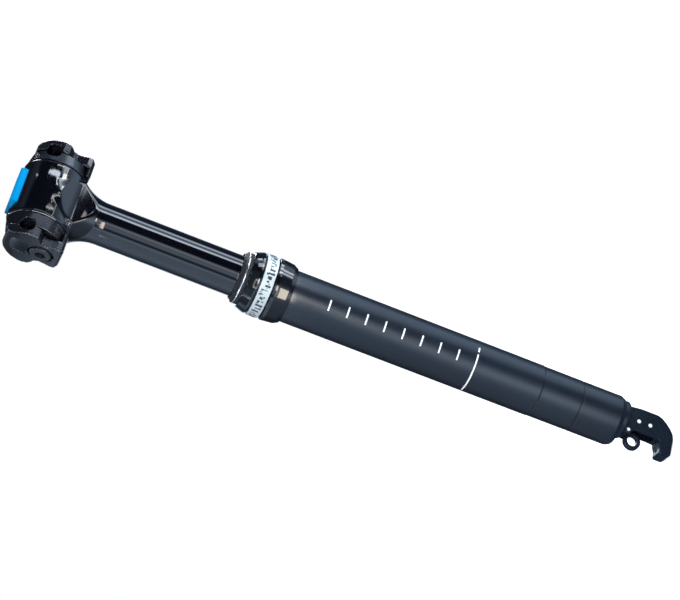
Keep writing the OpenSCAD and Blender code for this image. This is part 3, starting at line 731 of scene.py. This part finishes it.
# %% [markdown]
# Eased edges on the plate, the washers and the bolts
#
# These small parts have flat faces and crisp edges, which is what a Bevel modifier does well.
# Each gets a copy of its solid with welded points, flat faces joined, and a narrow Bevel on
# every edge sharper than about 30 degrees. Weighted Normal keeps the flats flat, so that only
# the narrow bevel catches the light.

# %% Ease the edges
EDGE_ANGLE, FLAT_ANGLE, WELD = 28, 0.6, 2e-6


def eased(node_name, width, slot, segments):
    mesh = nodes[node_name].data.copy()
    mesh.name = node_name + "_eased"
    work = bmesh.new()
    work.from_mesh(mesh)
    bmesh.ops.remove_doubles(work, verts=work.verts, dist=WELD)
    bmesh.ops.dissolve_limit(work, angle_limit=math.radians(FLAT_ANGLE), verts=work.verts, edges=work.edges)
    for part in (*work.faces, *work.edges):
        part.smooth = True
    work.to_mesh(mesh)
    work.free()
    for layer in [a.name for a in mesh.attributes if a.name in ("custom_normal", "sharp_edge")]:
        mesh.attributes.remove(mesh.attributes[layer])
    mesh.materials.clear()
    mesh.materials.append(finishes[slot])
    piece = link_object(node_name + "_eased", mesh)
    bevel = piece.modifiers.new("ease", "BEVEL")
    bevel.width = width * MM
    bevel.segments = segments
    bevel.limit_method = "ANGLE"
    bevel.angle_limit = math.radians(EDGE_ANGLE)
    bevel.miter_outer = "MITER_ARC"
    bevel.use_clamp_overlap = True
    settle_normals(piece)
    take_place(piece, node_name)
    print(piece.name, "faces", len(piece.data.polygons))


eased("head_plate", 0.45, "blue_plate", 3)
for side in ("left", "right"):
    eased("bolt_washer_" + side, 0.12, "dark_steel", 2)
    eased("clamp_bolt_" + side, 0.18, "dark_steel", 2)

# %% [markdown]
# The printed height scale
#
# The tube carries a printed line every ten millimetres and a long one where the tube must at
# least go in. They all face the same way, so that a rider reads them from the front. Geometry
# Nodes repeats one thin arc down a Mesh Line: the count, the spacing and the arc are inputs.
# The print stands 0.03 mm proud, as thick ink does.

# %% Height scale tree
def printed_tree():
    tree, given = tree_with("printed_arcs", [
        ("Count", "Int"), ("Spacing", "Float"), ("Radius", "Float"), ("Start Angle", "Float"),
        ("Sweep Angle", "Float"), ("Steps", "Int"), ("Thickness", "Float"), ("Line Width", "Float"),
        ("First Height", "Float")])
    first, step = make(tree, "ShaderNode", "CombineXYZ", "CombineXYZ")
    row, arc, ink, sweep, repeat = make(tree, "GeometryNode", "MeshLine", "CurveArc",
                                        "CurvePrimitiveQuadrilateral", "CurveToMesh", "InstanceOnPoints")
    row.mode = "OFFSET"
    arc.mode = "RADIUS"
    fill(sweep, {"Fill Caps": True})
    wire(tree, [
        (given, "First Height", first, "Z"), (given, "Spacing", step, "Z"), (given, "Count", row),
        (first, "Vector", row, "Start Location"), (step, "Vector", row, "Offset"), (given, "Radius", arc),
        (given, "Start Angle", arc), (given, "Sweep Angle", arc), (given, "Steps", arc, "Resolution"),
        (given, "Thickness", ink, "Width"), (given, "Line Width", ink, "Height"), (arc, "Curve", sweep),
        (ink, "Curve", sweep, "Profile Curve"), (row, "Mesh", repeat, "Points"), (sweep, "Mesh", repeat, "Instance")])
    return close_tree(tree, given, repeat, "Instances")


PRINTED = printed_tree()
FRONT, SPACING, LINE_WIDTH, INK = 240.0, -10.0, 0.8, 0.03


def printed(name, count, first, start, sweep):
    """A row of printed lines. first is the upper one's height; start and sweep are in degrees."""
    piece = grown(name, PRINTED, {
        "Count": count, "Spacing": SPACING * MM, "Radius": TUBE_R * MM, "First Height": first * MM,
        "Start Angle": math.radians(FRONT + start), "Sweep Angle": math.radians(sweep),
        "Steps": max(6, int(abs(sweep) / 2)), "Thickness": INK * 2 * MM, "Line Width": LINE_WIDTH * MM,
        "Material": finishes["white_print"]})
    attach(piece, "outer_post")
    print(name, "faces", len(piece.data.polygons))


SCALE_TOP, INSERTION = -19.6, -99.6
printed("height_marks", 8, SCALE_TOP, 1, 24)
printed("insertion_line", 1, INSERTION, -72, 102)
printed("insertion_mark", 1, INSERTION, 36, 12)

# %% [markdown]
# Marks round the pale ring
#
# The real ring is covered with dark print. What it says isn't copied: plain bars and blocks take
# its place, with the same weight of dark and pale. One bar stands at the ring's radius, and is
# instanced on a row of points that all lie at the centre; each instance is turned about the post
# by its number, and a fixed seed gives it its own width, height and place on the ring.

# %% Ring marks tree
SMALLEST, LARGEST = (1.0, 0.3, 0.25), (1.0, 1.3, 1.0)


def ring_marks_tree():
    tree, given = tree_with("ring_marks", [
        ("Count", "Int"), ("Radius", "Float"), ("Height", "Float"), ("Bar", "Vector"), ("Turn Step", "Float"),
        ("Seed", "Int"), ("Lift", "Float")])
    start, out, about, up, angle, lift = make(tree, "ShaderNode", *["CombineXYZ"] * 4, "Math", "Math")
    size, shift = make(tree, "FunctionNode", "RandomValue", "RandomValue")
    row, bar, place, number, move, repeat = make(
        tree, "GeometryNode", "MeshLine", "MeshCube", "Transform", "InputIndex", "SetPosition", "InstanceOnPoints")
    angle.operation = lift.operation = "MULTIPLY"
    size.data_type, shift.data_type = "FLOAT_VECTOR", "FLOAT"
    fill(size, {0: SMALLEST, 1: LARGEST})
    fill(shift, {2: -1.0, 3: 1.0})
    fill(row, {"Offset": (0, 0, 0)})
    wire(tree, [
        (given, "Height", start, "Z"), (start, "Vector", row, "Start Location"), (given, "Count", row),
        (given, "Seed", shift), (shift, 1, lift, 0), (given, "Lift", lift, 1), (lift, "Value", up, "Z"),
        (row, "Mesh", move, "Geometry"), (up, "Vector", move, "Offset"), (given, "Bar", bar, "Size"),
        (bar, "Mesh", place, "Geometry"), (given, "Radius", out, "X"), (out, "Vector", place, "Translation"),
        (number, "Index", angle, 0), (given, "Turn Step", angle, 1), (angle, "Value", about, "Z"),
        (given, "Seed", size), (move, "Geometry", repeat, "Points"), (place, "Geometry", repeat, "Instance"),
        (about, "Vector", repeat, "Rotation"), (size, 0, repeat, "Scale")])
    return close_tree(tree, given, repeat, "Instances")


RING_MARKS = ring_marks_tree()
BAND_MIDDLE = (BAND_LOW + BAND_HIGH) / 2
for name, count, bar, seed, lift in (
        ("ring_bars", 46, (0.06, 1.3, 3.9), 7, 0.9), ("ring_blocks", 83, (0.06, 0.9, 1.3), 11, 1.7)):
    marks = grown(name, RING_MARKS, {
        "Count": count, "Radius": BAND_R * MM, "Height": BAND_MIDDLE * MM, "Bar": [v * MM for v in bar],
        "Turn Step": 2 * math.pi / count, "Seed": seed, "Lift": lift * MM, "Material": finishes["dark_print"]})
    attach(marks, "outer_post")
    heights = [v.co.z / MM for v in marks.data.vertices]
    widest = max(math.hypot(v.co.x, v.co.y) for v in marks.data.vertices) / MM
    print(name, len(marks.data.polygons), "faces, heights", round(min(heights), 2), round(max(heights), 2),
          "on a ring from", BAND_LOW, "to", BAND_HIGH, "out to", round(widest, 2))

# %% [markdown]
# Soft light
#
# Three tall soft boxes light the dull surfaces. Reflections don't see them, because a polished
# black tube would show each as a broad grey band. Places are given as degrees round the post,
# counted from the camera and positive to the upper right of the picture.

# %% Soft boxes
scene.view_settings.view_transform = "Standard"
UP = Vector((0, 0, 1))
facing = camera.matrix_world.to_3x3() @ UP
towards = Vector((facing.x, facing.y, 0)).normalized()
sideways = UP.cross(towards)
FLOOR_Z, HIGH = -0.2146, 0.55
LOW = FLOOR_Z + 0.002
MIDDLE = (HIGH + LOW) / 2


def round_post(bearing, distance, height):
    a = math.radians(bearing)
    return (towards * math.cos(a) + sideways * math.sin(a)) * distance + Vector((0, 0, height))


def soft_box(name, bearing, distance, size, power, colour, height):
    """An area light that faces the post's axis."""
    data = bpy.data.lights.new(name, "AREA")
    data.shape = "RECTANGLE"
    data.size, data.size_y = size
    data.energy = power
    data.color = colour
    lamp = link_object(name, data)
    lamp.visible_camera = lamp.visible_glossy = False
    back = round_post(bearing, 1.0, 0.0).normalized()
    turn = Matrix((UP.cross(back), UP, back)).transposed()
    lamp.matrix_world = Matrix.Translation(round_post(bearing, distance, height)) @ turn.to_4x4()
    return lamp


soft_box("broad_box", 66, 0.45, (0.22, HIGH - LOW), 2.8, (0.82, 0.93, 1.0), MIDDLE)
soft_box("edge_strip", 106, 0.45, (0.05, HIGH - LOW), 1.8, (1, 1, 1), MIDDLE)
soft_box("front_box", -12, 0.6, (0.1, HIGH - LOW), 4.0, (1.0, 0.95, 0.9), MIDDLE)
print("soft boxes from", round(LOW, 3), "to", HIGH, "m")

# %% [markdown]
# The light tent
#
# A black gloss object shows its surroundings more than itself, so it stands in a round tent that
# only reflections see. Bright strips of its cloth give the pale lines along the stanchion, and
# dark gaps between them keep it black. Each height of the post has its own list of stops: a
# bearing, how bright the cloth is there and how blue, 1 where it isn't said. The cloth's glow is
# a colour attribute.

# %% Tent
BY_THE_TUBE = [
    (-172, 3, 0.8), (-169, 0.1), (-155, 0.1), (-148, 0.05), (-124, 0.1), (-95, 0.55), (-60, 0.8), (-35, 1),
    (-20, 1.6), (-8, 3, 0.7), (8, 3, 0.7), (18, 1.6), (30, 0.35), (56, 0.15), (62, 0.9), (78, 2.1), (105, 1.9),
    (118, 0.5), (130, 0.05), (169, 0.1), (172, 3, 0.8)]
BY_THE_COLLAR = [
    (-172, 3, 0.8), (-169, 0.1), (-148, 0.1), (-124, 0.3), (-105, 1.2), (-88, 2), (-8, 2), (-5, 0.1), (1, 0.1),
    (3, 20, -0.5), (19, 20, -0.5), (21, 0.05), (54, 0.05), (56, 9, 0.5), (61, 9, 0.5), (63, 0.2), (67, 0.2),
    (69, 9, 0.6), (74, 9, 0.6), (76, 0.2), (86, 0.2), (89, 7, 0.7), (95, 7, 0.7), (99, 0.2), (157, 0.5), (169, 0.1),
    (172, 3, 0.8)]
BY_THE_SHAFT = [
    (-172, 3, 0.8), (-169, 0.1), (-165, 1), (-155, 1), (-148, 0.1), (-124, 0.25), (-105, 1), (-88, 1.9), (-38, 2),
    (-32, 2.9, 0.9), (-27, 2.2, 0.9), (-22, 0.3), (-16, 0.3), (-10, 1.7, 0.9), (-4, 2.4, 0.7), (4, 1.6, 0.8),
    (10, 3, 0.5), (16, 3, 0.5), (21, 0.8), (24, 0.03), (52, 0.03), (61.5, 0.05, 0.7), (62.3, 10, 0.45),
    (66, 14, 0.45), (71, 10, 0.5), (76, 2.6, 0.9), (81, 1.3), (85, 2.4), (90, 8, 0.7), (96, 8, 0.7), (100, 2),
    (105, 0.1), (152, 0.1), (157, 1), (164, 1), (169, 0.1), (172, 3, 0.8)]
BY_THE_HEAD = [
    (-172, 0.05), (-160, 0.25), (-100, 0.25), (-67, 0.6), (-66, 14, 0.2), (-57, 14, 0.2), (-56, 0.8), (-46, 0.8),
    (-30, 0.7), (-27.5, 0.5), (5, 0.4), (18, 0.4), (46, 0.3), (52, 0.03), (80, 0.03), (84, 1.5), (98, 1.5),
    (106, 0.1), (141, 0.1), (142, 16, 0.2), (157, 16, 0.2), (158, 0.05), (172, 0.05)]
BY_THE_TOP = [
    (-172, 0.05), (-130, 0.3), (0, 0.4), (26, 0.15), (46, 0.03), (84, 0.03), (100, 0.4), (138, 0.1), (172, 0.05)]
LOWER_SHAFT = [(b + 1.8 * (61 < b < 63), *rest) for b, *rest in BY_THE_SHAFT]
UNDER_THE_HEAD = [(b, 1.0 if -161 < b < -99 else g, *blue) for b, g, *blue in BY_THE_HEAD]
SEEN_BY_CAP = [(b, 0.8 if -68 < b < -56 else g, *blue) for b, g, *blue in BY_THE_HEAD]
TOP_LINE = [(-172, 0.05), (-155, 0.05), (-150, 10, 0.2), (-60, 10, 0.2), (-55, 0.3), *BY_THE_TOP[2:-1]]
BANDS = [
    (-0.09, -0.041, BY_THE_TUBE), (-0.038, -0.028, BY_THE_COLLAR), (-0.024, 0.0, LOWER_SHAFT),
    (0.03, 0.084, BY_THE_SHAFT), (0.088, 0.112, UNDER_THE_HEAD), (0.125, 0.165, BY_THE_HEAD),
    (0.17, 0.235, SEEN_BY_CAP), (0.24, 0.29, BY_THE_HEAD), (0.31, 0.4, BY_THE_TOP), (0.405, 0.43, TOP_LINE),
    (0.435, HIGH, BY_THE_TOP)]
TENT_R, TENT_FOOT_R, BEARING_STEP = 0.3, 0.1, 0.5


def glow_of(light, blue):
    """A light's colour: blue 1 is cold, below nought is warm."""
    return (light * (1 - 0.42 * blue), light * (1 - 0.24 * blue), light)


def glowing_cloth():
    mat = bpy.data.materials.new("tent_cloth")
    mat.use_nodes = True
    tree = mat.node_tree
    tree.nodes.remove(tree.nodes["Principled BSDF"])
    lit, read = make(tree, "ShaderNode", "Emission", "Attribute")
    read.attribute_name = "glow"
    wire(tree, [(read, "Color", lit), (lit, "Emission", tree.nodes["Material Output"], "Surface")])
    return mat


def tent(levels):
    """A round wall with a dim lid. Each level is a height, a radius and its stops."""
    bearings = np.arange(-180.0, 180.0, BEARING_STEP)
    rows = len(levels)
    points, faces, glow = [], [], []
    for i, bearing in enumerate(bearings):
        for height, radius, stops in levels:
            where, strength, blue = np.array([(*stop, 1)[:3] for stop in stops]).T
            light = np.interp(bearing, where, strength, period=360)
            tint = np.interp(bearing, where, blue, period=360)
            points.append(round_post(bearing, radius, height))
            glow.append((*glow_of(light, tint), 1))
        here, ahead = rows * i, rows * ((i + 1) % len(bearings))
        faces += [(here + row, ahead + row, ahead + row + 1, here + row + 1) for row in range(rows - 1)]
        faces.append((here + rows - 1, ahead + rows - 1, rows * len(bearings)))
    points.append(Vector((0, 0, levels[-1][0])))
    glow.append((*glow_of(0.08, 0.8), 1))
    mesh = bpy.data.meshes.new("light_tent")
    mesh.from_pydata(points, [], faces)
    layer = mesh.color_attributes.new("glow", "FLOAT_COLOR", "POINT")
    layer.data.foreach_set("color", np.array(glow).ravel())
    mesh.materials.append(glowing_cloth())
    wall = link_object("light_tent", mesh)
    wall.visible_camera = wall.visible_diffuse = wall.visible_shadow = False
    print("tent faces", len(faces))


tent([(LOW, TENT_FOOT_R, BY_THE_TUBE)] + [(z, TENT_R, stops) for low, high, stops in BANDS for z in (low, high)])

# %% [markdown]
# Glints
#
# Small curved parts shrink what they mirror, so the sharp spots on the barrel, the neck and the
# collars need small lights close by. Each is a thin area light that only reflections see. Its
# power follows from its area, so that its brightness is the number given, as for the cloth.

# %% Small lights
def glint(name, radius, light, blue, rows):
    """A light from each row to the next. A row is the bearings of the two edges and a height."""
    for part, ((left, right, low), (left_up, right_up, high)) in enumerate(zip(rows, rows[1:])):
        foot = round_post((left + right) / 2, radius, low)
        head = round_post((left_up + right_up) / 2, radius, high)
        width = radius * math.radians((right - left + right_up - left_up) / 2)
        length = (head - foot).length
        lamp = soft_box(f"{name}_{part}", (left + right + left_up + right_up) / 4, radius, (width, length),
                        math.pi * light * width * length, glow_of(1, blue), (low + high) / 2)
        up = (head - foot).normalized()
        across = up.cross(lamp.matrix_world.col[2].to_3d()).normalized()
        turn = Matrix((across, up, across.cross(up))).transposed()
        lamp.matrix_world = Matrix.Translation((head + foot) / 2) @ turn.to_4x4()
        lamp.visible_diffuse = False
        lamp.visible_glossy = True


HEAD_AWAY, RING_AWAY = 0.045, 0.025
for name, light, blue, rows in [
        ("oval", 17, 0.5, [(58.5, 60.2, 0.1235), (57.5, 61.2, 0.126), (57.5, 61.2, 0.1321), (58.6, 62.2, 0.14),
                           (61.2, 62.5, 0.1465)]),
        ("spot", 14, 0.3, [(73.3, 74.1, 0.1777), (82.0, 82.9, 0.188)]),
        ("warm", 15, -0.6, [(60.8, 64.3, 0.1088), (58.4, 62.1, 0.1176)]),
        ("arc", 13, 0.1, [(64.8, 65.8, 0.1216), (64.6, 65.6, 0.1339)]),
        ("mark_high", 6, -0.3, [(41, 45.9, 0.1185), (41, 45.4, 0.121)]),
        ("mark_low", 5, -0.3, [(44.6, 50, 0.107), (43.3, 48.7, 0.11)]),
        ("bar", 11, 0.1, [(39.6, 40.8, 0.1085), (37.9, 39.2, 0.1142), (36.3, 37.6, 0.12), (36.2, 37.2, 0.1275)]),
        ("line", 8, 0.1, [(39.0, 39.7, 0.1145), (38.2, 38.8, 0.1255)]),
        ("chamfer", 16, 0.2, [(-32, -27, 0.104), (-25, -20.5, 0.127), (-29, -24, 0.146)]),
        ("sheen", 2.2, 0.9, [(4, 30, 0.0985), (4, 30, 0.152)])]:
    glint(name, HEAD_AWAY, light, blue, rows)
for name, light, blue, left, right, low, high in [
        ("neck", 11, -1.1, -17, 10, 0.0978, 0.0994),
        ("block", 9.5, -1.1, -13, 12, -0.0028, 0.0037), ("block_dim", 3, -0.2, -13, 12, 0.0047, 0.0072),
        ("ring_low", 8.5, 0.3, 47, 53, -0.001, 0.009), ("ring_high", 8.5, 0.3, 57, 64, -0.001, 0.009),
        ("ring_top", 8.5, 0.3, 72, 80, 0.0065, 0.009),
        ("cap_low", 8.5, 0.3, 48, 60, 0.0235, 0.0262), ("cap_high", 8.5, 0.3, 72, 80, 0.0235, 0.0262),
        ("foot_low", 8.5, 0.3, 48, 60, 0.0158, 0.0175), ("foot_high", 8.5, 0.3, 72, 80, 0.0158, 0.0175),
        ("frame_up", 5, 0, -13, 12, 0.0258, 0.0265), ("frame_foot", 5, 0, -13, 12, 0.0158, 0.0165),
        ("frame_left", 5, 0, -13, -8, 0.0245, 0.0258), ("frame_right", 5, 0, 7, 12, 0.0245, 0.0258),
        ("corner_left", 5, 0, -13, -8, 0.0165, 0.0175), ("corner_right", 5, 0, 7, 12, 0.0165, 0.0175)]:
    glint(name, RING_AWAY, light, blue, [(left, right, low), (left, right, high)])
print("lights", len(bpy.data.lights))

# %% [markdown]
# Floor and background
#
# The floor and the background are white for the camera. The floor has a soft glow of its own
# for the camera only, so that it reads as paper and still takes the object's shadow. Mirrors see
# a dim blue floor instead, because a white one would fill the black parts with grey.

# %% Floor and background
def by_ray(tree, kinds, usual, special):
    """A shader that is the special one for these kinds of rays. Shaders are nodes with their output's name."""
    rays, mix = make(tree, "ShaderNode", "LightPath", "MixShader")
    hit = (rays, kinds[0])
    for kind in kinds[1:]:
        either = tree.nodes.new("ShaderNodeMath")
        either.operation = "MAXIMUM"
        wire(tree, [(*hit, either, 0), (rays, kind, either, 1)])
        hit = (either, "Value")
    wire(tree, [(*hit, mix, "Fac"), (*usual, mix, 1), (*special, mix, 2)])
    return mix, "Shader"


def glowing(tree, kind, colour, strength):
    node = tree.nodes.new(kind)
    fill(node, {"Color": colour, "Strength": strength})
    return node


MIRRORS = ("Is Glossy Ray", "Is Transmission Ray")
world = bpy.data.worlds.new("studio")
scene.world = world
world.use_nodes = True
tree = world.node_tree
ambient = tree.nodes["Background"]
fill(ambient, {"Color": (0.86, 0.91, 1.0, 1), "Strength": 0.5})
plain = glowing(tree, "ShaderNodeBackground", (1, 1, 1, 1), 1.0)
seen = by_ray(tree, ("Is Camera Ray", *MIRRORS), (ambient, "Background"), (plain, "Background"))
wire(tree, [(*seen, tree.nodes["World Output"], "Surface")])

FLOOR_HALF = 1.5
floor_mesh = bpy.data.meshes.new("floor")
floor_mesh.from_pydata([(x * FLOOR_HALF, y * FLOOR_HALF, FLOOR_Z) for x, y in ((-1, -1), (1, -1), (1, 1), (-1, 1))],
                       [], [(0, 1, 2, 3)])
floor = link_object("floor", floor_mesh)
floor_mat = bpy.data.materials.new("pale_floor")
floor_mat.use_nodes = True
tree = floor_mat.node_tree
paper = tree.nodes["Principled BSDF"]
fill(paper, {"Base Color": (0.86, 0.87, 0.88, 1), "Roughness": 0.9, "Specular IOR Level": 0.1})
glow = glowing(tree, "ShaderNodeEmission", (1, 1, 1, 1), 0.68)
dim = glowing(tree, "ShaderNodeEmission", (0.3, 0.55, 0.9, 1), 0.3)
both = tree.nodes.new("ShaderNodeAddShader")
wire(tree, [(paper, "BSDF", both, 0), (glow, "Emission", both, 1)])
seen = by_ray(tree, ("Is Camera Ray",), (paper, "BSDF"), (both, "Shader"))
seen = by_ray(tree, MIRRORS, seen, (dim, "Emission"))
wire(tree, [(*seen, tree.nodes["Material Output"], "Surface")])
floor_mesh.materials.append(floor_mat)
